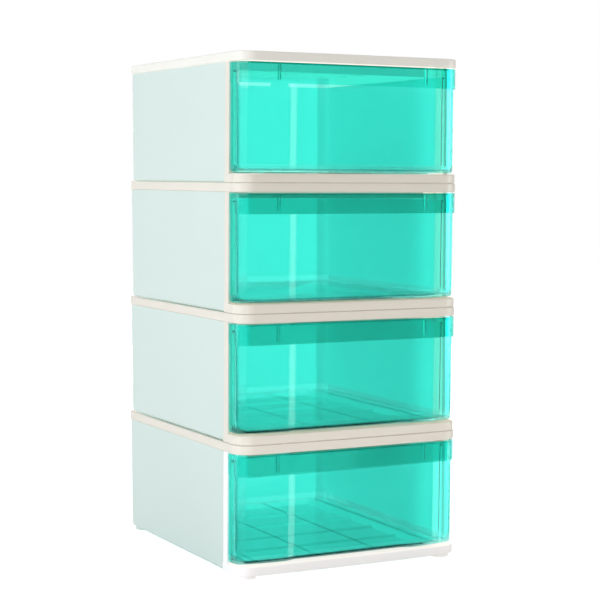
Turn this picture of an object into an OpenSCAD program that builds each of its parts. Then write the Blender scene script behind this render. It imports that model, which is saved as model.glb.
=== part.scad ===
// Stacking drawer tower in moulded plastic: four equal tiers, one on the other.
// Each tier is a translucent case, a front frame, a top panel with a sunk tray
// and a clear drawer with a full-width finger lip.
// Millimetres. Origin on the floor under the middle of the tower, front towards -Y.

/* [Tower] */
// Width of the top bands
tower_w = 300; // [270:1:340]
// Depth of the top bands, front to back
tower_d = 342; // [300:1:400]
// Height from one tier to the next
tier_h = 151; // [120:1:200]
// Plan radius of the front corners
front_r = 22; // [18:1:32]
// Plan radius of the back corners
back_r = 10; // [6:1:14]
// Forward bow of the front edges, middle to corner
front_bow = 2; // [0.5:0.5:4]

/* [Top panel] */
// Height of the band round the top panel
band_h = 11; // [9:0.5:16]
// Thickness of the panel plate
plate_t = 2.5; // [2:0.25:3.5]
// Depth of the tray sunk in the panel's top
tray_depth = 4.5; // [3:0.5:6]
// Thickness of the rim round the tray
rim_t = 3; // [2.5:0.25:5]
// Rounding of the band's outer edges
band_edge_r = 1.5; // [0.5:0.25:2]
// Thickness of the ribs under the plate
plate_rib_t = 1.8; // [1.2:0.1:3]
// Depth of the stiffening ribs under the plate
plate_rib_h = 3.2; // [2:0.1:4]
// Number of cross ribs under the plate
plate_ribs_n = 4; // [2:1:6]
// Distance of the drawer stop bar behind the front
stop_bar_y = 72; // [60:1:110]
// Height of the stop bar's lower edge above the hold-down ribs
stop_bar_up = 1.6; // [1:0.1:2.4]
// Overlap of the stop bar and the drawer's stop tabs
stop_overlap = 2.6; // [1.5:0.1:3.5]

/* [Case] */
// Step back of the case wall from the band
wall_step = 1.2; // [0.5:0.1:3]
// Draft of the case walls, band to floor
case_draft = 1.6; // [0.5:0.1:4]
// Thickness of the case walls and floor
case_t = 2.2; // [1.8:0.1:3]
// Rounding of the case's lower edges
case_edge_r = 3.5; // [2.5:0.25:6]
// Step inwards of the case's neck inside the band
neck_step = 1.6; // [1:0.1:2.5]
// Thickness of the runner ribs on the case floor
runner_t = 3; // [2:0.25:5]
// Distance of the runner ribs and outer skids from the middle
runner_x = 120; // [100:1:125]
// Height of the side guide beads
guide_h = 3; // [2:0.5:6]
// Thickness of the cross ribs on the case floor
cross_rib_t = 1.6; // [1.2:0.1:3]
// Number of cross ribs on the case floor
cross_ribs_n = 4; // [2:1:6]
// Height of the cross ribs above the case floor
cross_rib_h = 3; // [1.5:0.25:4]

/* [Front frame] */
// Height of the front rail
rail_h = 10.8; // [8:0.2:16]
// Step back of the rail from the band
rail_step = 0.6; // [0.3:0.1:1.5]
// Distance of the posts behind the front of the band
post_y = 34; // [30:1:45]
// Depth of the posts, front to back
post_d = 11; // [8:0.5:16]
// Width of the posts
post_w = 5.4; // [4.5:0.1:7]
// Wall thickness of the hollow rail
rail_t = 2.4; // [1.8:0.1:3.5]
// Distance between the cross ribs in the rail
rail_rib_gap = 48; // [36:1:55]
// Thickness of the cross ribs in the rail
rail_rib_t = 1.6; // [1:0.1:2.5]
// Length of the laps behind the case's front edges
lap_len = 8; // [5:0.5:12]
// Thickness of the laps
lap_t = 1.1; // [0.8:0.1:1.3]

/* [Feet] */
// Radius of the feet
foot_r = 12; // [8:0.5:13]
// Wall of the cored feet
foot_wall = 3; // [2:0.25:4]
// Play between the feet and the tray rim below
foot_play = 2.4; // [1.5:0.1:3.5]

/* [Drawer] */
// Thickness of the drawer's walls
drawer_t = 2; // [1.6:0.1:2.6]
// Thickness of the drawer's floor
drawer_floor_t = 2.2; // [1.8:0.1:3]
// Height of the drawer's sides below the underside of the band
side_drop = 10; // [7:0.5:14]
// Draft of the drawer's sides and back, rim to floor
drawer_draft = 1.2; // [0.5:0.1:3]
// Plan radius of the drawer's back corners
drawer_back_r = 14; // [9:1:24]
// Rounding of the drawer's outer lower edges
drawer_edge_r = 3.5; // [2.5:0.25:5]
// Rounding of the drawer's inside along the floor
inner_edge_r = 7; // [4.5:0.5:10]
// Width of the outward rim on the sides and back
drawer_rim_w = 1.8; // [1:0.1:3]
// Thickness of the outward rim
drawer_rim_t = 2; // [1.5:0.1:3]
// Height of the skid ribs under the floor
skid_h = 0.8; // [0.5:0.1:1.5]
// Thickness of the skid ribs
skid_t = 1.6; // [1.2:0.1:3]
// Distance of the inner skid ribs from the middle
inner_skid_x = 40; // [25:1:60]
// Width of the stop tabs on the back wall
stop_tab_w = 30; // [16:1:40]
// Distance of the stop tabs from the middle
stop_tab_x = 70; // [50:1:85]

/* [Drawer front] */
// Step in of the drawer front's sides from the band
front_step_x = 2.6; // [2.4:0.1:5]
// Distance of the front pads behind the band at their foremost
pad_y = 5; // [4.5:0.1:8]
// Distance from the middle to the pads' foremost line
pad_x = 86; // [80:1:92]
// Radius of the pads' crown in plan
pad_crown_r = 230; // [180:5:400]
// Depth of the middle recess behind the pads
recess_depth = 4.7; // [2:0.1:6]
// Width of the sloping side of the recess
recess_slope_w = 16; // [10:1:22]
// Forward bow of the recess
recess_bow = 1.5; // [0:0.1:3]
// Lean of the front, top to bottom
front_lean = 1.8; // [0.5:0.1:3]
// Plan radius of the front's corners
drawer_front_r = 10; // [8:0.5:14]

/* [Lip] */
// Height of the lip
lip_h = 24; // [16:1:32]
// Thickness of the lip
lip_t = 1.9; // [1.5:0.1:2.5]
// Step in of the lip's sides from the band
lip_step_x = 2; // [1.8:0.1:2.3]
// Distance of the lip's face behind the band
lip_y = 0.4; // [0.2:0.1:1]
// Plan radius of the lip's corners
lip_r = 18; // [12:1:20]
// Thickness of the two ribs inside the lip
lip_rib_t = 2; // [1.5:0.1:3]
// Distance of the lip ribs from the middle
lip_rib_x = 99; // [94:1:108]
// Height of the lip's lower edge below the ribs
lip_rib_up = 4; // [2:0.5:8]

/* [Clearances] */
// Gap above the drawer's lip
lip_gap = 1.2; // [0.8:0.1:2]
// Gap between the rail and the drawer's skids
rail_gap = 0.5; // [0.4:0.1:1]
// Gap between the runner ribs and the skids
runner_gap = 0.3; // [0.3:0.1:0.6]
// Gap between the drawer's rim and what guides it
side_gap = 0.8; // [0.5:0.1:1.5]
// Gap between the drawer's ears and the posts when shut
shut_gap = 0.3; // [0.3:0.1:0.8]
// Gap between the drawer's back and the case when shut
back_gap = 2; // [1.5:0.5:6]
// Gap above the drawer's rim to the hold-down ribs
hold_gap = 0.8; // [0.5:0.1:1.2]
// Gap between the band's skirt and the case's neck
neck_gap = 0.3; // [0.2:0.1:0.5]
// Gap between the laps and the guide beads
bead_gap = 1; // [0.5:0.1:2]

/* [Hidden] */

tiers = 4;
$fn = 48;
foot_fn = 28;
rib_fn = 8;
rail_ribs = [-2:2];
edge_profile = [[0, 1], [0.3, 0.3], [1, 0]]; // rise and step in, as shares of the radius
cut = 1; // how far a cutting shape runs past the face that it opens

case_color = [0.87, 0.93, 0.92];
cream_color = [0.91, 0.89, 0.86];
drawer_color = [0.20, 0.88, 0.80];

// Heights in one tier, from the underside of its rail
band_z = tier_h - band_h;
tray_z = tier_h - tray_depth;
plate_z = tray_z - plate_t;
skid_z = rail_h + rail_gap;
drawer_z = skid_z + skid_h;
drawer_floor_z = drawer_z + drawer_floor_t;
lip_top_z = band_z - lip_gap;
drawer_rim_z = band_z - side_drop;
stop_bar_z = drawer_rim_z + hold_gap + stop_bar_up;
stop_tab_z = stop_bar_z + stop_overlap;

// Half widths
band_x = tower_w / 2;
case_x = band_x - wall_step;
neck_x = case_x - neck_step;
skirt_x = neck_x + neck_gap;
post_in_x = case_x - post_w;
rim_x = post_in_x - side_gap;
drawer_x = rim_x - drawer_rim_w;
front_x = band_x - front_step_x;
lip_x = band_x - lip_step_x;
hold_x = drawer_x - drawer_t / 2;

// Distances behind the front of the band
frame_back_y = post_y + post_d;
case_back_y = tower_d - wall_step;
drawer_back_y = tower_d - wall_step - case_draft - case_t - back_gap;
ear_y = post_y - shut_gap;
inner_back_y = case_back_y - case_draft - case_t;

foot_h = tray_depth;
foot_corner = front_r - rim_t - foot_play - foot_r;
front_foot = [band_x - front_r + foot_corner * sin(45),
              front_bow + front_r - foot_corner * sin(45)];
back_foot = [band_x - rim_t - foot_play - foot_r,
             tower_d - rim_t - foot_play - foot_r];

// ---- Outlines, as lists of points, anticlockwise seen from above ----

function arc(x, y, r, from, to, steps) =
  [for (i = [0:steps]) let (a = from + (to - from) * i / steps) [x + r * cos(a), y + r * sin(a)]];

// Band outline, drawn in by inset: bowed front, large front corners, small back corners
function band_plan(inset = 0) =
  let (rf = front_r - inset, rb = max(back_r - inset, 0.5),
       straight = band_x - front_r, xb = band_x - inset - rb, yb = tower_d - inset - rb)
  concat(arc(-straight, front_bow + front_r, rf, 180, 270, 10),
         [for (i = [1:7]) let (u = i / 4 - 1) [u * straight, front_bow * u * u + inset]],
         arc(straight, front_bow + front_r, rf, 270, 360, 10),
         arc(xb, yb, rb, 0, 90, 6),
         arc(-xb, yb, rb, 90, 180, 6));

// Rail outline: the front of the band's, cut straight at the back of the posts
function rail_plan(inset = 0) =
  let (rf = front_r - inset, straight = band_x - front_r, x = band_x - inset)
  concat(arc(-straight, front_bow + front_r, rf, 180, 270, 10),
         [for (i = [1:7]) let (u = i / 4 - 1) [u * straight, front_bow * u * u + inset]],
         arc(straight, front_bow + front_r, rf, 270, 360, 10),
         [[x, frame_back_y], [-x, frame_back_y]]);

// Box open at the front: square front corners and rounded back corners
function case_plan(half, front, back, r) =
  concat([[-half, front], [half, front]],
         arc(half - r, back - r, r, 0, 90, 5),
         arc(-half + r, back - r, r, 90, 180, 5));

function mirrored(list) = [for (i = [len(list) - 1:-1:0]) list[i]];

// Smooth step from 0 to 1
function blend(u) = let (v = min(max(u, 0), 1)) v * v * (3 - 2 * v);

// Face of the drawer front at x: crowned pads either side of a shallow middle recess
function pad_face(x) = pow(abs(x) - pad_x, 2) / (2 * pad_crown_r);
function recess_face(x) = recess_depth - recess_bow * (1 - pow(x / pad_x, 2));
function front_face(x) =
  let (s = blend((abs(x) - pad_x + recess_slope_w) / recess_slope_w))
  pad_y + s * pad_face(x) + (1 - s) * recess_face(x);

// Plan of the drawer, drawn in by inset, with its face set back by lean
function drawer_plan(inset, lean, draft) =
  let (r = max(drawer_front_r - inset, 0.5), x = front_x - inset,
       turn = asin((front_x - drawer_front_r - pad_x) / pad_crown_r),
       end_x = x - r + r * sin(turn),
       end_y = front_face(end_x) + lean + inset,
       mid_y = end_y + r * cos(turn),
       xb = drawer_x - inset - draft, yb = drawer_back_y - inset - draft,
       rb = max(drawer_back_r - inset, 0.5), slope_x = pad_x - recess_slope_w,
       right = concat([for (i = [0:2]) slope_x * i / 3],
                      [for (i = [0:6]) slope_x + recess_slope_w * i / 6],
                      [for (i = [1:3]) pad_x + (end_x - pad_x) * i / 4]),
       left = [for (i = [len(right) - 1:-1:1]) -right[i]])
  concat(arc(-x + r, mid_y, r, 180, 270 - turn, 6),
         [for (u = concat(left, right)) [u, front_face(u) + lean + inset]],
         arc(x - r, mid_y, r, 270 + turn, 360, 6),
         [[x, ear_y - inset], [xb, ear_y - inset]],
         arc(xb - rb, yb - rb, rb, 0, 90, 6),
         arc(-xb + rb, yb - rb, rb, 90, 180, 6),
         [[-xb, ear_y - inset], [-x, ear_y - inset]]);

// Lip outline, drawn in by inset, open at the back along the ears
function lip_plan(inset = 0) =
  let (r = lip_r - inset, x = lip_x - inset, straight = lip_x - lip_r)
  concat(arc(-straight, lip_y + front_bow + lip_r, r, 180, 270, 8),
         [for (i = [1:7]) let (u = i / 4 - 1) [u * straight, lip_y + front_bow * u * u + inset]],
         arc(straight, lip_y + front_bow + lip_r, r, 270, 360, 8),
         [[x, ear_y], [-x, ear_y]]);

// ---- Building blocks ----

// Solid through a stack of outlines with equal numbers of points: [outline, height]
module loft(rings) {
  n = len(rings[0][0]);
  last = len(rings) - 1;
  points = [for (ring = rings) for (p = ring[0]) [p[0], p[1], ring[1]]];
  sides = [for (j = [0:last - 1]) for (i = [0:n - 1])
    let (a = j * n + i, b = j * n + (i + 1) % n) [a, a + n, b + n, b]];
  triangles = [for (q = sides) for (t = [[q[0], q[1], q[2]], [q[0], q[2], q[3]]]) t];
  polyhedron(points, concat([[for (i = [0:n - 1]) i]],
                            [[for (i = [n - 1:-1:0]) last * n + i]], triangles));
}

module slab(outline, from, to) {
  translate([0, 0, from]) linear_extrude(to - from) polygon(outline);
}

module block(x0, x1, y0, y1, z0, z1) {
  translate([x0, y0, z0]) cube([x1 - x0, y1 - y0, z1 - z0]);
}

module both_sides() {
  children();
  mirror([1, 0, 0]) children();
}

// Upright rib along Y with round ends
module rib(x, thick, y0, y1, z0, z1) {
  hull() for (y = [y0 + thick / 2, y1 - thick / 2])
    translate([x, y, z0]) cylinder(d = thick, h = z1 - z0, $fn = rib_fn);
}

// Cored foot, its rim down, from the tray below up to height top
module foot(place, top) {
  translate([place[0], place[1], -foot_h]) difference() {
    cylinder(r = foot_r, h = foot_h + top, $fn = foot_fn);
    translate([0, 0, -cut]) cylinder(r = foot_r - foot_wall, h = foot_h + cut, $fn = foot_fn);
  }
}

// ---- Top panel ----

module top_panel() {
  color(cream_color) {
    difference() {
      band_shell();
      slab(band_plan(rim_t), tray_z, tier_h + cut);
      slab(band_plan(band_x - skirt_x), band_z - cut, plate_z);
    }
    plate_ribs();
  }
}

module band_shell() {
  r = band_edge_r;
  loft([for (s = edge_profile) [band_plan(r * s[1]), band_z + r * s[0]],
        for (s = mirrored(edge_profile)) [band_plan(r * s[1]), tier_h - r * s[0]]]);
}

// Ribs under the plate: a stiffening grid, hold-down ribs over the drawer's sides
// and the bar that stops the drawer
module plate_ribs() {
  top = plate_z + plate_t / 2;
  low = plate_z - plate_rib_h;
  back = inner_back_y - back_gap - drawer_back_r;
  both_sides() {
    block(hold_x - plate_rib_t, hold_x, frame_back_y, back, drawer_rim_z + hold_gap, top);
    block(inner_skid_x, inner_skid_x + plate_rib_t, stop_bar_y, back, low, top);
  }
  for (i = [1:plate_ribs_n]) {
    y = stop_bar_y + (back - stop_bar_y) * i / (plate_ribs_n + 1);
    block(-hold_x, hold_x, y, y + plate_rib_t, low, top);
  }
  block(-hold_x, hold_x, stop_bar_y, stop_bar_y + plate_rib_t, stop_bar_z, top);
}

// ---- Case ----

module case() {
  color(case_color) {
    difference() {
      case_shell(0, 0, frame_back_y);
      case_shell(case_t, case_t, frame_back_y - cut);
    }
    case_ribs();
    both_sides() foot(back_foot, case_t / 2);
  }
}

// Drafted box with rounded lower edges and a neck that steps in under the band.
// Drawn in by inset and raised by floor_z it is the case's inside.
module case_shell(inset, floor_z, front) {
  r = case_edge_r - inset / 2;
  rb = back_r - inset;
  top = plate_z + (floor_z > 0 ? cut : 0);
  neck_low = band_z - (floor_z > 0 ? case_t : 0);
  loft([for (a = [90, 60, 30, 0])
          case_ring(inset + r * (1 - cos(a)), floor_z + r * (1 - sin(a)), front, rb),
        case_ring(inset, neck_low, front, rb),
        case_ring(inset + neck_step, band_z, front, rb),
        case_ring(inset + neck_step, top, front, rb)]);
}

function case_ring(inset, z, front, r) =
  let (draft = case_draft * max(1 - z / band_z, 0))
  [case_plan(case_x - inset - draft, front, case_back_y - inset - draft, r), z];

// Runner ribs under the drawer's outer skids, guide beads beside its rim
// and low cross ribs that stiffen the floor
module case_ribs() {
  bead_t = case_x - case_t / 2 - post_in_x;
  both_sides() {
    rib(runner_x, runner_t, frame_back_y, inner_back_y + case_t, case_t / 2, skid_z - runner_gap);
    rib(post_in_x + bead_t / 2, bead_t, frame_back_y + lap_len + bead_gap, inner_back_y - back_r,
        drawer_rim_z - guide_h, drawer_rim_z);
  }
  for (i = [1:cross_ribs_n])
    rotate(90) rib(frame_back_y + (inner_back_y - frame_back_y) * i / (cross_ribs_n + 1), cross_rib_t,
                   -runner_x, runner_x, case_t / 2, case_t + cross_rib_h);
}

// ---- Front frame ----

module front_frame() {
  color(cream_color) {
    rail();
    both_sides() {
      post();
      foot(front_foot, rail_h - rail_t / 2);
    }
  }
}

// Hollow rail, open below, with cross ribs
module rail() {
  r = band_edge_r;
  difference() {
    loft([for (s = edge_profile) [rail_plan(rail_step + r * s[1]), r * s[0]],
          for (s = mirrored(edge_profile)) [rail_plan(rail_step + r * s[1]), rail_h - r * s[0]]]);
    difference() {
      slab(rail_inside(), -cut, rail_h - rail_t);
      for (i = rail_ribs)
        block(i * rail_rib_gap - rail_rib_t / 2, i * rail_rib_gap + rail_rib_t / 2,
              0, frame_back_y, -2 * cut, rail_h);
    }
    both_sides() translate([front_foot[0], front_foot[1], -cut])
      cylinder(r = foot_r - foot_wall, h = rail_h - rail_t + cut);
  }
}

function rail_inside() =
  let (outer = rail_plan(rail_step + rail_t), n = len(outer), x = outer[0][0])
  concat([for (i = [0:n - 3]) outer[i]],
         [[-x, frame_back_y - rail_t], [x, frame_back_y - rail_t]]);

// Post with a lap that reaches behind the case's wall
module post() {
  block(post_in_x, case_x, post_y, frame_back_y, rail_h - rail_t / 2, band_z);
  block(post_in_x, neck_x, post_y, frame_back_y, band_z - cut, plate_z);
  block(post_in_x, post_in_x + lap_t, frame_back_y - cut, frame_back_y + lap_len,
        case_t + case_edge_r, plate_z - plate_t);
}

// ---- Drawer ----

module drawer() {
  color(drawer_color) {
    difference() {
      union() {
        difference() {
          drawer_shell(0, drawer_z, lip_top_z);
          block(-band_x, band_x, ear_y, tower_d, drawer_rim_z, lip_top_z + cut);
        }
        drawer_rim();
        lip();
      }
      drawer_shell(drawer_t, drawer_floor_z, lip_top_z + cut);
    }
    skids();
    stop_tabs();
  }
}

// Body of the drawer between two heights. Drawn in by inset it is the drawer's inside.
module drawer_shell(inset, from, to) {
  r = inset > 0 ? inner_edge_r : drawer_edge_r;
  loft([for (a = [90, 45, 0]) drawer_ring(inset, r * (1 - cos(a)), from + r * (1 - sin(a))),
        drawer_ring(inset, 0, to)]);
}

function drawer_ring(inset, round_in, z) =
  let (share = min(max((lip_top_z - z) / (lip_top_z - drawer_z), 0), 1))
  [drawer_plan(inset + round_in, front_lean * share, drawer_draft * share), z];

// Outward rim along the sides and the back
module drawer_rim() {
  slab(case_plan(rim_x, ear_y - drawer_t, drawer_back_y + drawer_rim_w / 2, drawer_back_r),
       drawer_rim_z - drawer_rim_t, drawer_rim_z);
}

// Finger lip: a skirt in front of the face, a web over it and two ribs inside
module lip() {
  low = lip_top_z - lip_h;
  difference() {
    slab(lip_plan(), low, lip_top_z);
    slab(lip_plan(lip_t), low - cut, lip_top_z - lip_t);
    block(-band_x, band_x, ear_y - cut / 100, ear_y + lip_r, low - cut, lip_top_z + cut);
  }
  both_sides()
    rib(lip_rib_x, lip_rib_t, lip_y + lip_t / 2, pad_y + front_lean + drawer_t,
        low + lip_rib_up, lip_top_z - lip_t / 2);
}

module skids() {
  both_sides() for (x = [inner_skid_x, runner_x])
    rib(x, skid_t, post_y, drawer_back_y - drawer_back_r - drawer_draft,
        skid_z, drawer_z + drawer_floor_t / 2);
}

// Tabs with round shoulders that meet the stop bar when the drawer is fully out
module stop_tabs() {
  r = stop_overlap;
  both_sides() hull() {
    block(stop_tab_x - stop_tab_w / 2, stop_tab_x + stop_tab_w / 2, drawer_back_y - drawer_t, drawer_back_y,
          drawer_rim_z - drawer_rim_t, drawer_rim_z);
    for (x = [r - stop_tab_w / 2, stop_tab_w / 2 - r])
      translate([stop_tab_x + x, drawer_back_y, stop_tab_z - r])
        rotate([90, 0, 0]) cylinder(r = r, h = drawer_t, $fn = 3 * rib_fn);
  }
}

// ---- Tiers, numbered from the top ----

module tier(k) {
  translate([0, -tower_d / 2, foot_h + (tiers - k) * tier_h]) children();
}

module case_1() { tier(1) case(); }
module case_2() { tier(2) case(); }
module case_3() { tier(3) case(); }
module case_4() { tier(4) case(); }
module front_frame_1() { tier(1) front_frame(); }
module front_frame_2() { tier(2) front_frame(); }
module front_frame_3() { tier(3) front_frame(); }
module front_frame_4() { tier(4) front_frame(); }
module top_panel_1() { tier(1) top_panel(); }
module top_panel_2() { tier(2) top_panel(); }
module top_panel_3() { tier(3) top_panel(); }
module top_panel_4() { tier(4) top_panel(); }
module drawer_1() { tier(1) drawer(); }
module drawer_2() { tier(2) drawer(); }
module drawer_3() { tier(3) drawer(); }
module drawer_4() { tier(4) drawer(); }

case_1();
front_frame_1();
top_panel_1();
drawer_1();
case_2();
front_frame_2();
top_panel_2();
drawer_2();
case_3();
front_frame_3();
top_panel_3();
drawer_3();
case_4();
front_frame_4();
top_panel_4();
drawer_4();
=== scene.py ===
"""Looks of a stacking drawer tower: frosted cases, cream frames and panels, clear drawers.

Everything is in metres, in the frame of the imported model: +Z up, the front towards -Y.
Tier 1 is the top one, and every tier repeats the one above it, one pitch lower.
"""

import math

import bpy
from mathutils import Matrix, Vector


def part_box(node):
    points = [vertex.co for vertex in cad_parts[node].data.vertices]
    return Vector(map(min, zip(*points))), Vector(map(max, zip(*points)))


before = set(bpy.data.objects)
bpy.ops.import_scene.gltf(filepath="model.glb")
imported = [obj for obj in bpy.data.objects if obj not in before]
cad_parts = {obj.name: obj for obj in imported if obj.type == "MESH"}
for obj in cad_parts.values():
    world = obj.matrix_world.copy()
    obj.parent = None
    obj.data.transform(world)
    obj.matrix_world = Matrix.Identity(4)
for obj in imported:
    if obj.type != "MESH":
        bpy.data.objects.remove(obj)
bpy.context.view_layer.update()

bl_info = {
    "name": "Drawer tower finishes",
    "version": (1, 0, 0),
    "blender": (4, 5, 0),
    "location": "3D View > Sidebar > Drawers",
    "description": "Moulded plastic finishes, soft studio light and camera for a drawer tower",
    "category": "Object",
}

MM = 0.001
TIERS = (1, 2, 3, 4)
TOWER_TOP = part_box("top_panel_1")[1].z
TIER_PITCH = TOWER_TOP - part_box("top_panel_2")[1].z

# Moulded surface: rub marks are long and thin, grain is finer than a millimetre
RUB_STRETCH = (300.0, 9.0, 260.0)
RUB_START, RUB_FULL = 0.58, 0.72
GRAIN_SCALE = 1400.0
NOISE_DETAIL = 2.0

# Edges: what is welded, what counts as flat, and which edges are rounded or kept crisp
WELD_DISTANCE = 0.02 * MM
FLAT_ANGLE = math.radians(0.4)
ROUNDED_ANGLE = math.radians(32)
CRISP_ANGLE = math.radians(40)
ROUND_SEGMENTS = 2

# Index of refraction: the plastic's own, and a lower one for clear walls, whose
# rounded edges would bend a ray so far that they went black
PLASTIC_IOR = 1.49
CLEAR_WALL_IOR = 1.25

# Share of an inside face that glows with the light behind it
PANEL_GLOW = 0.92
CASE_GLOW = 0.9
# The case's sides lose this much of it, between these depths behind the front
SIDE_LOSS = 0.35
SIDE_REACH = 20 * MM
FADE_START = 30 * MM
FADE_END = 65 * MM

# Places where the drawer is seen edge on and looks deeper in colour, and painted shade on the lips of
# the lower tiers
FRONT_DEPTH = 12 * MM
LIP_WEB = 1.9 * MM
# Painted shade: how far the lips of the lower tiers are drawn towards the deep colour
LIP_HEIGHT = 24 * MM
LIP_PAINTED_SHADE = 0.35
LIP_RIB_X = 99 * MM
LIP_RIB_HEIGHT = 20 * MM
LIP_RIB_REACH = 1.1 * MM
SKID_XS = (40 * MM, 120 * MM)
SKID_REACH = 0.9 * MM
SKID_TOP = 3.2 * MM
# Keeps a drawer's top edge clear of the jump from one tier to the next
TOP_ROOM = 1 * MM

# The drawer's rounded edges: how clear they are, and how far in they reach
RIM_CLEAR = 0.55
RIM_FRONT = 20 * MM
RIM_BACK = 16 * MM
RIM_SIDE = 17 * MM
RIM_CORNER = 12 * MM
RIM_FOOT = 10 * MM

# Studio: how bright the floor is made to the eye, and the air in reflections
FLOOR_RADIUS = 6
FLOOR_LIFT = 0.65
MIRRORED_AIR = 0.45

# The camera's place and turn, worked out from the tower's own edges in the photograph.
# The shift is only as large as the photograph's framing needs.
CAMERA_PLACE = Vector((-0.9774, -1.9046, 0.4650))
CAMERA_YAW = math.radians(27.534)
CAMERA_PITCH = math.radians(1.084)
CAMERA_ROLL = math.radians(-0.302)
CAMERA_SHIFT_Y = -0.1529
SENSOR_WIDTH = 36.0
FARTHEST_SEEN = 20


# ---- Settings ----


class TOWER_PG_mouldings(bpy.types.PropertyGroup):
    """Finish of the opaque and frosted mouldings."""

    case_colour: bpy.props.FloatVectorProperty(
        name="Case colour",
        description="Colour of the frosted cases",
        subtype="COLOR",
        size=3,
        min=0,
        max=1,
        default=(0.63, 0.715, 0.665),
    )
    cream_colour: bpy.props.FloatVectorProperty(
        name="Cream colour",
        description="Colour of the uppermost panel",
        subtype="COLOR",
        size=3,
        min=0,
        max=1,
        default=(0.85, 0.812, 0.745),
    )
    # Painted shade: a darker, warmer copy of the same cream for the frames and the panels that sit
    # under a tier, in the shade of the band above
    shaded_frame_colour: bpy.props.FloatVectorProperty(
        name="Frame colour",
        description="Warmer cream of the upper front frames and of the panels between tiers",
        subtype="COLOR",
        size=3,
        min=0,
        max=1,
        default=(0.765, 0.705, 0.62),
    )
    # Painted light: a paler copy of the same cream for the lowest frame, lit by the bounce from the
    # white floor
    floor_lit_base_colour: bpy.props.FloatVectorProperty(
        name="Base colour",
        description="Paler cream of the lowest frame",
        subtype="COLOR",
        size=3,
        min=0,
        max=1,
        default=(0.96, 0.92, 0.91),
    )
    edge_round: bpy.props.FloatProperty(
        name="Edge rounding",
        description="Width of the small round on moulded edges",
        subtype="DISTANCE",
        unit="LENGTH",
        default=0.35 * MM,
        min=0,
    )


class TOWER_PG_drawers(bpy.types.PropertyGroup):
    """Finish of the clear drawers."""

    colour: bpy.props.FloatVectorProperty(
        name="Drawer colour",
        description="Colour that one wall of a drawer lets through",
        subtype="COLOR",
        size=3,
        min=0,
        max=1,
        default=(0.215, 0.90, 0.84),
    )
    # Also painted shade: the lips of the lower tiers take part of this colour
    deep_and_shade_colour: bpy.props.FloatVectorProperty(
        name="Deep colour",
        description="Colour that the thicker places of a drawer let through",
        subtype="COLOR",
        size=3,
        min=0,
        max=1,
        default=(0.004, 0.42, 0.34),
    )
    edge_round: bpy.props.FloatProperty(
        name="Edge rounding",
        description="Width of the small round on the drawers' edges",
        subtype="DISTANCE",
        unit="LENGTH",
        default=0.3 * MM,
        min=0,
    )


class TOWER_PG_stage(bpy.types.PropertyGroup):
    """Camera and studio."""

    lens: bpy.props.FloatProperty(
        name="Lens",
        description="Focal length of the camera",
        subtype="DISTANCE_CAMERA",
        default=101.27,
        min=20,
    )
    floor_colour: bpy.props.FloatVectorProperty(
        name="Floor colour",
        description="Colour of the studio floor",
        subtype="COLOR",
        size=3,
        min=0,
        max=1,
        default=(0.92, 0.92, 0.92),
    )
    fill_strength: bpy.props.FloatProperty(
        name="Fill",
        description="Strength of the even light from all round",
        default=0.5,
        min=0,
    )


# ---- Shader node helpers ----


def new_material(name):
    """Empty node material with an output, returned with its tree."""
    material = bpy.data.materials.new(name)
    material.use_nodes = True
    tree = material.node_tree
    tree.nodes.clear()
    output = tree.nodes.new("ShaderNodeOutputMaterial")
    return material, tree, output


def new_group(name, inputs, outputs):
    """Shader node group with named sockets: name, socket type and default."""
    group = bpy.data.node_groups.new(name, "ShaderNodeTree")
    for label, kind, default in inputs:
        socket = group.interface.new_socket(label, in_out="INPUT", socket_type=kind)
        socket.default_value = default
    for label, kind in outputs:
        group.interface.new_socket(label, in_out="OUTPUT", socket_type=kind)
    return group


def place_group(tree, group, **values):
    """A node that uses the group, with its own values."""
    node = tree.nodes.new("ShaderNodeGroup")
    node.node_tree = group
    for label, value in values.items():
        node.inputs[label.replace("_", " ")].default_value = value
    return node


def feed(tree, socket, value):
    """Give the socket a number, or link another node's output to it."""
    if isinstance(value, (int, float)):
        socket.default_value = value
    else:
        tree.links.new(value, socket)


def math_node(tree, operation, a, b=0.0):
    """One calculation with numbers or outputs."""
    node = tree.nodes.new("ShaderNodeMath")
    node.operation = operation
    feed(tree, node.inputs[0], a)
    feed(tree, node.inputs[1], b)
    return node.outputs[0]


def both(tree, a, b):
    """Where two masks overlap, or a mask in a smaller share."""
    return math_node(tree, "MULTIPLY", a, b)


def either(tree, mask, *others):
    """Where any of the masks is set."""
    for other in others:
        mask = math_node(tree, "MAXIMUM", mask, other)
    return mask


def noise_node(tree, place, scale, roughness):
    """Noise of that scale at the place."""
    node = tree.nodes.new("ShaderNodeTexNoise")
    values = {"Vector": place, "Scale": scale, "Detail": NOISE_DETAIL, "Roughness": roughness}
    for label, value in values.items():
        feed(tree, node.inputs[label], value)
    return node.outputs["Fac"]


def range_node(tree, value, low, high, to_low, to_high):
    """The value moved from one range to another, and held within it."""
    node = tree.nodes.new("ShaderNodeMapRange")
    values = {"Value": value, "From Min": low, "From Max": high, "To Min": to_low, "To Max": to_high}
    for label, number in values.items():
        feed(tree, node.inputs[label], number)
    return node.outputs["Result"]


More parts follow.
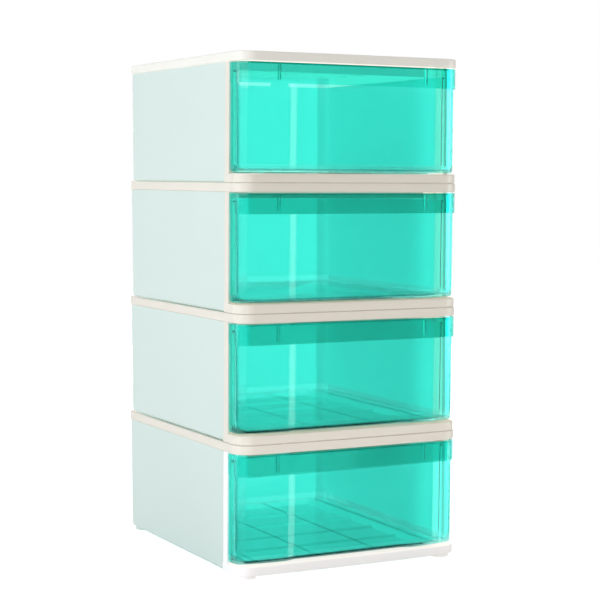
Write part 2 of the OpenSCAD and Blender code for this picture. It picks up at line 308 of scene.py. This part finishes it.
def flow_group():
    """Faint clouding, fine grain and rub marks of a moulded surface."""
    group = new_group(
        "moulded_flow",
        [
            ("Colour", "NodeSocketColor", (0.8, 0.8, 0.8, 1)),
            ("Clouding", "NodeSocketFloat", 0.03),
            ("Cloud Size", "NodeSocketFloat", 12.0),
            ("Roughness", "NodeSocketFloat", 0.4),
            ("Roughness Spread", "NodeSocketFloat", 0.08),
            ("Grain", "NodeSocketFloat", 0.5),
            ("Rubs", "NodeSocketFloat", 0.3),
        ],
        [
            ("Colour", "NodeSocketColor"),
            ("Roughness", "NodeSocketFloat"),
            ("Height", "NodeSocketFloat"),
        ],
    )
    nodes, links = group.nodes, group.links
    entry = nodes.new("NodeGroupInput").outputs
    leave = nodes.new("NodeGroupOutput").inputs
    where = nodes.new("ShaderNodeTexCoord").outputs["Object"]

    # Colour drifts a little over a hand's width, as the melt cooled
    cloud = noise_node(group, where, entry["Cloud Size"], 0.5)
    drift = math_node(group, "MULTIPLY", math_node(group, "SUBTRACT", cloud, 0.5), entry["Clouding"])
    shade = nodes.new("ShaderNodeHueSaturation")
    links.new(entry["Colour"], shade.inputs["Color"])
    links.new(math_node(group, "ADD", drift, 1.0), shade.inputs["Value"])
    links.new(math_node(group, "SUBTRACT", 1.0, drift), shade.inputs["Saturation"])
    links.new(shade.outputs["Color"], leave["Colour"])

    # Long thin rub marks from sliding and wiping, and fine mould grain
    stretch = nodes.new("ShaderNodeMapping")
    stretch.inputs["Scale"].default_value = RUB_STRETCH
    links.new(where, stretch.inputs["Vector"])
    marks = noise_node(group, stretch.outputs["Vector"], 1.0, 0.55)
    rubs = both(group, range_node(group, marks, RUB_START, RUB_FULL, 0.0, 1.0), entry["Rubs"])
    grain = noise_node(group, where, GRAIN_SCALE, 0.6)
    spread = math_node(group, "ADD", math_node(group, "SUBTRACT", grain, 0.5), rubs)
    unevenness = math_node(group, "MULTIPLY", spread, entry["Roughness Spread"])
    links.new(math_node(group, "ADD", entry["Roughness"], unevenness), leave["Roughness"])
    raised = math_node(group, "MULTIPLY", grain, entry["Grain"])
    links.new(math_node(group, "SUBTRACT", raised, rubs), leave["Height"])
    return group


def shared_flow():
    """The one flow group, made when it is first asked for."""
    return bpy.data.node_groups.get("moulded_flow") or flow_group()


def bump(tree, height, distance, strength):
    """Normal that follows the height."""
    node = tree.nodes.new("ShaderNodeBump")
    node.inputs["Strength"].default_value = strength
    node.inputs["Distance"].default_value = distance
    tree.links.new(height, node.inputs["Height"])
    return node.outputs["Normal"]


def moulded_shader(tree, flow, ior, distance, strength):
    """Principled shader fed by a flow node, whose grain is that deep and that strong."""
    shader = tree.nodes.new("ShaderNodeBsdfPrincipled")
    shader.inputs["IOR"].default_value = ior
    tree.links.new(flow.outputs["Colour"], shader.inputs["Base Color"])
    tree.links.new(flow.outputs["Roughness"], shader.inputs["Roughness"])
    tree.links.new(bump(tree, flow.outputs["Height"], distance, strength), shader.inputs["Normal"])
    return shader


def blend_shaders(tree, share, shader, other):
    """The first shader, with that share of the other in its place."""
    mix = tree.nodes.new("ShaderNodeMixShader")
    tree.links.new(share, mix.inputs[0])
    tree.links.new(shader.outputs[0], mix.inputs[1])
    tree.links.new(other.outputs[0], mix.inputs[2])
    return mix


def let_lamps_through(tree, output, shader, share, tint, clearer=None):
    """Lamp light reaches what is behind the shader, tinted, in that share.

    Sight goes straight through as well, in the share that clearer gives.
    """
    clear = tree.nodes.new("ShaderNodeBsdfTransparent")
    clear.inputs["Color"].default_value = (*tint, 1)
    path = tree.nodes.new("ShaderNodeLightPath").outputs
    passed = both(tree, either(tree, path["Is Shadow Ray"], path["Is Diffuse Ray"]), share)
    if clearer is not None:
        passed = either(tree, passed, clearer)
    tree.links.new(blend_shaders(tree, passed, shader, clear).outputs[0], output.inputs["Surface"])


def seen_directly(tree):
    """1 for what the camera sees, also through a clear wall."""
    path = tree.nodes.new("ShaderNodeLightPath").outputs
    return either(tree, path["Is Camera Ray"], path["Is Transmission Ray"])


# ---- Places on a tier ----


def piece_place(tree):
    """X, Y and Z of the shaded point as three outputs."""
    where = tree.nodes.new("ShaderNodeSeparateXYZ")
    tree.links.new(tree.nodes.new("ShaderNodeTexCoord").outputs["Object"], where.inputs[0])
    return where.outputs


def off_centre(tree, x):
    """Distance from the tower's middle plane."""
    return math_node(tree, "ABSOLUTE", x)


def below_tier(tree, height, top):
    """How far a point at that height is below the same level in its own tier, 0 to one pitch."""
    return math_node(tree, "FLOORED_MODULO", math_node(tree, "SUBTRACT", top, height), TIER_PITCH)


def drawer_place(tree):
    """Distance from the middle plane, Y, Z, and depth under the top of the point's own drawer."""
    x, y, z = piece_place(tree)
    return off_centre(tree, x), y, z, below_tier(tree, z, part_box("drawer_1")[1].z + TOP_ROOM)


def above_depth(tree, drop, depth):
    """1 above that depth under the drawer's top."""
    return math_node(tree, "LESS_THAN", drop, depth + TOP_ROOM)


def under_depth(tree, drop, depth):
    """1 under that depth below the drawer's top."""
    return math_node(tree, "GREATER_THAN", drop, depth + TOP_ROOM)


def near(tree, value, centre, reach):
    """1 where the value lies within that reach of the centre."""
    off = math_node(tree, "ABSOLUTE", math_node(tree, "SUBTRACT", value, centre))
    return math_node(tree, "LESS_THAN", off, reach)


def inner_skin(tree):
    """Mask of inside faces, which look towards the middle of their tier."""
    x, y, z = piece_place(tree)
    rise = math_node(tree, "SUBTRACT", TIER_PITCH / 2, below_tier(tree, z, TOWER_TOP))
    from_middle = tree.nodes.new("ShaderNodeCombineXYZ")
    for socket, value in zip(from_middle.inputs, (x, y, rise)):
        tree.links.new(value, socket)
    outwards = tree.nodes.new("ShaderNodeVectorMath")
    outwards.operation = "DOT_PRODUCT"
    tree.links.new(tree.nodes.new("ShaderNodeTexCoord").outputs["Normal"], outwards.inputs[0])
    tree.links.new(from_middle.outputs[0], outwards.inputs[1])
    return math_node(tree, "LESS_THAN", outwards.outputs["Value"], 0.0)


def side_fade(tree):
    """Glow of a case's inside, which its sides lose towards the back."""
    low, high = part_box("case_1")
    x, y, _ = piece_place(tree)
    side = math_node(tree, "GREATER_THAN", off_centre(tree, x), high.x - SIDE_REACH)
    loss = range_node(tree, y, low.y + FADE_START, low.y + FADE_END, 0.0, SIDE_LOSS)
    return math_node(tree, "SUBTRACT", CASE_GLOW, both(tree, side, loss))


def thick_zones_and_painted_shade(tree):
    """Where the drawer is seen edge on: the lip's web and ribs, and the skid ribs under the floor; and
    painted shade on the lips of the lower tiers.
    """
    low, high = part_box("drawer_1")
    across, y, z, drop = drawer_place(tree)
    web = above_depth(tree, drop, LIP_WEB)
    # Painted shade: the lips that have another tier above them are drawn deeper, as less light reaches
    # them
    shaded = math_node(tree, "LESS_THAN", z, low.z)
    painted_lip_shade = both(tree, both(tree, above_depth(tree, drop, LIP_HEIGHT), shaded), LIP_PAINTED_SHADE)
    rib = both(tree, near(tree, across, LIP_RIB_X, LIP_RIB_REACH),
               above_depth(tree, drop, LIP_RIB_HEIGHT))
    front = math_node(tree, "LESS_THAN", y, low.y + FRONT_DEPTH)
    lip = both(tree, either(tree, web, rib, painted_lip_shade), front)
    skids = either(tree, *(near(tree, across, x, SKID_REACH) for x in SKID_XS))
    floor = under_depth(tree, drop, high.z - low.z - SKID_TOP)
    return either(tree, lip, both(tree, skids, floor))


def rounded_rim(tree):
    """The drawer's rounded corners and lower edges."""
    low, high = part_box("drawer_1")
    across, y, _, drop = drawer_place(tree)
    front = math_node(tree, "LESS_THAN", y, low.y + RIM_FRONT)
    back = math_node(tree, "GREATER_THAN", y, high.y - RIM_BACK)
    side = math_node(tree, "GREATER_THAN", across, high.x - RIM_SIDE)
    corner = both(tree, front, math_node(tree, "GREATER_THAN", across, high.x - RIM_CORNER))
    foot = under_depth(tree, drop, high.z - low.z - RIM_FOOT)
    return either(tree, corner, both(tree, foot, either(tree, front, back, side)))


# ---- Materials ----


def soaked(tree, look, shader, share):
    """The shader, with that share of its inside faces glowing from the light behind."""
    glow = tree.nodes.new("ShaderNodeBsdfTranslucent")
    tree.links.new(look.outputs["Colour"], glow.inputs["Color"])
    return blend_shaders(tree, both(tree, inner_skin(tree), share), shader, glow)


def cream_material(name, flow, colour):
    """Satin cream plastic of the frames and top panels, thin enough to glow inside."""
    material, tree, output = new_material(name)
    look = place_group(tree, flow, Colour=(*colour, 1), Clouding=0.03, Cloud_Size=9.0,
                       Roughness=0.34, Roughness_Spread=0.1, Grain=0.6, Rubs=0.5)
    shader = moulded_shader(tree, look, PLASTIC_IOR, 0.05 * MM, 0.25)
    skin = soaked(tree, look, shader, PANEL_GLOW)
    let_lamps_through(tree, output, skin, 0.85, (0.98, 0.96, 0.93))
    return material


def frosted_material(flow, colour):
    """Milky plastic of the cases, which lets some light in."""
    material, tree, output = new_material("frosted_case_finish")
    look = place_group(tree, flow, Colour=(*colour, 1), Clouding=0.025, Cloud_Size=7.0,
                       Roughness=0.42, Roughness_Spread=0.1, Grain=0.9, Rubs=0.3)
    shader = moulded_shader(tree, look, PLASTIC_IOR, 0.05 * MM, 0.3)
    skin = soaked(tree, look, shader, side_fade(tree))
    let_lamps_through(tree, output, skin, 0.95, (0.96, 0.99, 0.985))
    return material


def clear_material(flow, colour, deep_and_shade_colour):
    """Clear coloured plastic of the drawers, deeper where it is thick, with painted shade on the lips
    of the lower tiers.
    """
    material, tree, output = new_material("clear_drawer_finish")
    look = place_group(tree, flow, Clouding=0.02, Cloud_Size=10.0,
                       Roughness=0.03, Roughness_Spread=0.03, Grain=0.1, Rubs=0.5)
    depth = tree.nodes.new("ShaderNodeMix")
    depth.data_type = "RGBA"
    depth.inputs["A"].default_value = (*colour, 1)
    depth.inputs["B"].default_value = (*deep_and_shade_colour, 1)
    # Deeper colour where the walls are seen edge on, and painted shade on the lips of the lower tiers
    tree.links.new(thick_zones_and_painted_shade(tree), depth.inputs["Factor"])
    tree.links.new(depth.outputs["Result"], look.inputs["Colour"])
    shader = moulded_shader(tree, look, CLEAR_WALL_IOR, 0.02 * MM, 0.1)
    shader.inputs["Transmission Weight"].default_value = 0.98
    # Lamp light passes many walls, so each takes only a part of the drawer's colour
    tint = tuple(channel**0.25 for channel in colour)
    let_lamps_through(tree, output, shader, 1.0, tint, both(tree, rounded_rim(tree), RIM_CLEAR))
    return material


# ---- Moulded edges ----


def softening_nodes():
    """Geometry nodes that weld a faceted mesh and shade its gentle curves smooth."""
    name = "soften_curves"
    if name in bpy.data.node_groups:
        return bpy.data.node_groups[name]
    group = bpy.data.node_groups.new(name, "GeometryNodeTree")
    for way in ("INPUT", "OUTPUT"):
        group.interface.new_socket("Geometry", in_out=way, socket_type="NodeSocketGeometry")
    nodes, links = group.nodes, group.links
    weld = nodes.new("GeometryNodeMergeByDistance")
    weld.inputs["Distance"].default_value = WELD_DISTANCE
    faces = nodes.new("GeometryNodeSetShadeSmooth")
    faces.domain = "FACE"
    faces.inputs["Shade Smooth"].default_value = True
    edges = nodes.new("GeometryNodeSetShadeSmooth")
    edges.domain = "EDGE"
    edges.inputs["Shade Smooth"].default_value = False
    edge_angle = nodes.new("GeometryNodeInputMeshEdgeAngle")
    crisp = nodes.new("FunctionNodeCompare")
    crisp.operation = "GREATER_THAN"
    crisp.inputs["B"].default_value = CRISP_ANGLE
    links.new(edge_angle.outputs["Unsigned Angle"], crisp.inputs["A"])
    links.new(crisp.outputs["Result"], edges.inputs["Selection"])
    steps = (nodes.new("NodeGroupInput"), weld, faces, edges, nodes.new("NodeGroupOutput"))
    for step, following in zip(steps, steps[1:]):
        links.new(step.outputs["Geometry"], following.inputs["Geometry"])
    return group


def soften(piece, edge_round):
    """Modifiers only: weld, merge flat faces, round the edges and shade smooth."""
    weld = piece.modifiers.new("weld", "WELD")
    weld.merge_threshold = WELD_DISTANCE
    flat = piece.modifiers.new("merge_flats", "DECIMATE")
    flat.decimate_type = "DISSOLVE"
    flat.angle_limit = FLAT_ANGLE
    if edge_round > 0:
        rounding = piece.modifiers.new("edge_round", "BEVEL")
        rounding.width = edge_round
        rounding.segments = ROUND_SEGMENTS
        rounding.limit_method = "ANGLE"
        rounding.angle_limit = ROUNDED_ANGLE
        rounding.use_clamp_overlap = True
        rounding.miter_outer = "MITER_ARC"
    curves = piece.modifiers.new("soften_curves", "NODES")
    curves.node_group = softening_nodes()
    normals = piece.modifiers.new("weighted_normals", "WEIGHTED_NORMAL")
    normals.keep_sharp = True


def finish_node(node, material, edge_round):
    """Soften one moulding and give it its material."""
    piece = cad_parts[node]
    soften(piece, edge_round)
    for slot in piece.material_slots:
        slot.material = material


# ---- Studio ----


def add_floor(colour):
    """Plain pale floor that keeps the tower's shadow and meets the white air without a line."""
    bpy.ops.mesh.primitive_circle_add(vertices=96, radius=FLOOR_RADIUS, fill_type="NGON")
    floor = bpy.context.object
    floor.name = "studio_floor"
    material, tree, output = new_material("studio_floor_finish")
    shader = tree.nodes.new("ShaderNodeBsdfPrincipled")
    shader.inputs["Base Color"].default_value = (*colour, 1)
    shader.inputs["Roughness"].default_value = 0.8
    lift = tree.nodes.new("ShaderNodeEmission")
    tree.links.new(both(tree, seen_directly(tree), FLOOR_LIFT), lift.inputs["Strength"])
    add = tree.nodes.new("ShaderNodeAddShader")
    tree.links.new(shader.outputs[0], add.inputs[0])
    tree.links.new(lift.outputs[0], add.inputs[1])
    tree.links.new(add.outputs[0], output.inputs["Surface"])
    floor.data.materials.append(material)
    floor.visible_glossy = False


def add_world(fill):
    """White air: even light, plain white to the eye, and dimmer in reflections."""
    world = bpy.data.worlds.new("studio_air")
    bpy.context.scene.world = world
    world.use_nodes = True
    tree = world.node_tree
    tree.nodes.clear()
    output = tree.nodes.new("ShaderNodeOutputWorld")
    air = tree.nodes.new("ShaderNodeBackground")
    air.inputs["Color"].default_value = (1, 1, 1, 1)
    mirrored = tree.nodes.new("ShaderNodeLightPath").outputs["Is Glossy Ray"]
    unseen = range_node(tree, mirrored, 0.0, 1.0, fill, MIRRORED_AIR)
    tree.links.new(range_node(tree, seen_directly(tree), 0.0, 1.0, unseen, 1.0), air.inputs["Strength"])
    tree.links.new(air.outputs[0], output.inputs["Surface"])


def add_area(name, place, aim, size, power, colour=(1, 1, 1), only_mirrored=False):
    """Soft lamp, unseen in reflections, or seen only in them."""
    lamp = bpy.data.lights.new(name, "AREA")
    lamp.shape = "RECTANGLE"
    lamp.size, lamp.size_y = size
    lamp.energy = power
    lamp.color = colour
    holder = bpy.data.objects.new(name, lamp)
    bpy.context.scene.collection.objects.link(holder)
    holder.visible_camera = False
    holder.visible_glossy = only_mirrored
    holder.visible_diffuse = not only_mirrored
    holder.visible_transmission = not only_mirrored
    holder.location = place
    holder.rotation_euler = (Vector(aim) - Vector(place)).to_track_quat("-Z", "Y").to_euler()


def add_lamps():
    """Soft lamps all round, one low in front of the base, and a strip for the upright highlight."""
    middle = (0, 0, 0.3)
    lowest_rail = (0, -0.17, 0.02)
    recess_slope = (-0.076, -0.165, 0.05)
    large = (1.6, 1.6)
    add_area("key_left", (-2.5, -0.4, 0.7), middle, large, 42, (0.86, 0.935, 1.0))
    add_area("front_fill", (0.5, -2.4, 0.5), middle, (1.2, 1.6), 5, (1.0, 0.91, 0.78))
    add_area("back_soft", (0.9, 2.2, 0.7), middle, large, 29, (1.0, 0.97, 0.97))
    add_area("right_soft", (2.4, -0.1, 0.6), middle, large, 15)
    add_area("base_fill", (-0.05, -0.55, 0.05), lowest_rail, (0.6, 0.06), 0.36, (1.0, 0.95, 0.95))
    # The sloping side of the drawers' recess mirrors this strip towards the camera
    add_area("edge_strip", (1.857, -1.215, 0.05), recess_slope, (0.9, 1.6), 26, (0.85, 1.0, 1.0),
             only_mirrored=True)
    add_area("top_soft", (0.2, 0.3, 2.4), middle, large, 13)


def add_camera(lens):
    """Camera at the photograph's place."""
    data = bpy.data.cameras.new("photo_camera")
    data.sensor_fit = "HORIZONTAL"
    data.sensor_width = SENSOR_WIDTH
    data.lens = lens
    data.shift_y = CAMERA_SHIFT_Y
    data.clip_end = FARTHEST_SEEN
    camera = bpy.data.objects.new("photo_camera", data)
    bpy.context.scene.collection.objects.link(camera)
    forward = Vector((math.sin(CAMERA_YAW) * math.cos(CAMERA_PITCH),
                      math.cos(CAMERA_YAW) * math.cos(CAMERA_PITCH),
                      -math.sin(CAMERA_PITCH)))
    level = Vector((math.cos(CAMERA_YAW), -math.sin(CAMERA_YAW), 0))
    down = forward.cross(level)
    right = math.cos(CAMERA_ROLL) * level + math.sin(CAMERA_ROLL) * down
    up = math.sin(CAMERA_ROLL) * level - math.cos(CAMERA_ROLL) * down
    axes = Matrix((right, up, -forward)).transposed()
    camera.matrix_world = Matrix.Translation(CAMERA_PLACE) @ axes.to_4x4()
    bpy.context.scene.camera = camera


# ---- Operators ----


class TOWER_OT_stage(bpy.types.Operator):
    """Add the floor, the soft studio light and the camera"""

    bl_idname = "tower.stage"
    bl_label = "Studio"

    def execute(self, context):
        sizes = context.scene.tower_stage
        context.scene.view_settings.view_transform = "Standard"
        add_floor(sizes.floor_colour)
        add_world(sizes.fill_strength)
        add_lamps()
        add_camera(sizes.lens)
        return {"FINISHED"}


class TOWER_OT_cases(bpy.types.Operator):
    """Give the four cases their frosted finish"""

    bl_idname = "tower.cases"
    bl_label = "Frosted cases"

    def execute(self, context):
        sizes = context.scene.tower_mouldings
        material = frosted_material(shared_flow(), sizes.case_colour)
        for k in TIERS:
            finish_node(f"case_{k}", material, sizes.edge_round)
        return {"FINISHED"}


class TOWER_OT_frames(bpy.types.Operator):
    """Give the front frames and top panels their cream finish"""

    bl_idname = "tower.frames"
    bl_label = "Cream frames and panels"

    def execute(self, context):
        sizes = context.scene.tower_mouldings
        cream = cream_material("cream_panel_finish", shared_flow(), sizes.cream_colour)
        # Painted shade: the frames and the panels under a tier get a darker copy of the cream
        rail = cream_material("shaded_cream_finish", shared_flow(), sizes.shaded_frame_colour)
        # Painted light: the lowest frame gets a paler copy of the cream
        base = cream_material("floor_lit_base_finish", shared_flow(), sizes.floor_lit_base_colour)
        for k in TIERS:
            finish_node(f"front_frame_{k}", base if k == TIERS[-1] else rail, sizes.edge_round)
            finish_node(f"top_panel_{k}", cream if k == TIERS[0] else rail, sizes.edge_round)
        return {"FINISHED"}


class TOWER_OT_drawers(bpy.types.Operator):
    """Give the four drawers their clear finish"""

    bl_idname = "tower.drawers"
    bl_label = "Clear drawers"

    def execute(self, context):
        sizes = context.scene.tower_drawers
        material = clear_material(shared_flow(), sizes.colour, sizes.deep_and_shade_colour)
        for k in TIERS:
            finish_node(f"drawer_{k}", material, sizes.edge_round)
        return {"FINISHED"}


# ---- Panel and add-on ----


class TOWER_PT_panel(bpy.types.Panel):
    """Lists the settings and steps of the drawer tower"""

    bl_idname = "TOWER_PT_panel"
    bl_label = "Drawer tower"
    bl_space_type = "VIEW_3D"
    bl_region_type = "UI"
    bl_category = "Drawers"

    def draw(self, context):
        for settings in SETTINGS:
            group = getattr(context.scene, settings)
            box = self.layout.box()
            for name in group.bl_rna.properties.keys():
                if name not in ("rna_type", "name"):
                    box.prop(group, name)
        for step in STEPS:
            self.layout.operator(step.bl_idname)


STEPS = (TOWER_OT_stage, TOWER_OT_cases, TOWER_OT_frames, TOWER_OT_drawers)
SETTINGS = {
    "tower_mouldings": TOWER_PG_mouldings,
    "tower_drawers": TOWER_PG_drawers,
    "tower_stage": TOWER_PG_stage,
}
CLASSES = (*SETTINGS.values(), *STEPS, TOWER_PT_panel)


def register():
    """Add the classes, and the settings to every scene."""
    for cls in CLASSES:
        bpy.utils.register_class(cls)
    for name, cls in SETTINGS.items():
        setattr(bpy.types.Scene, name, bpy.props.PointerProperty(type=cls))


def unregister():
    """Take the settings and the classes away again."""
    for name in SETTINGS:
        delattr(bpy.types.Scene, name)
    for cls in reversed(CLASSES):
        bpy.utils.unregister_class(cls)


def main():
    """Run every step in order."""
    register()
    for step in STEPS:
        group, name = step.bl_idname.split(".")
        getattr(getattr(bpy.ops, group), name)()


if __name__ == "__main__":
    main()
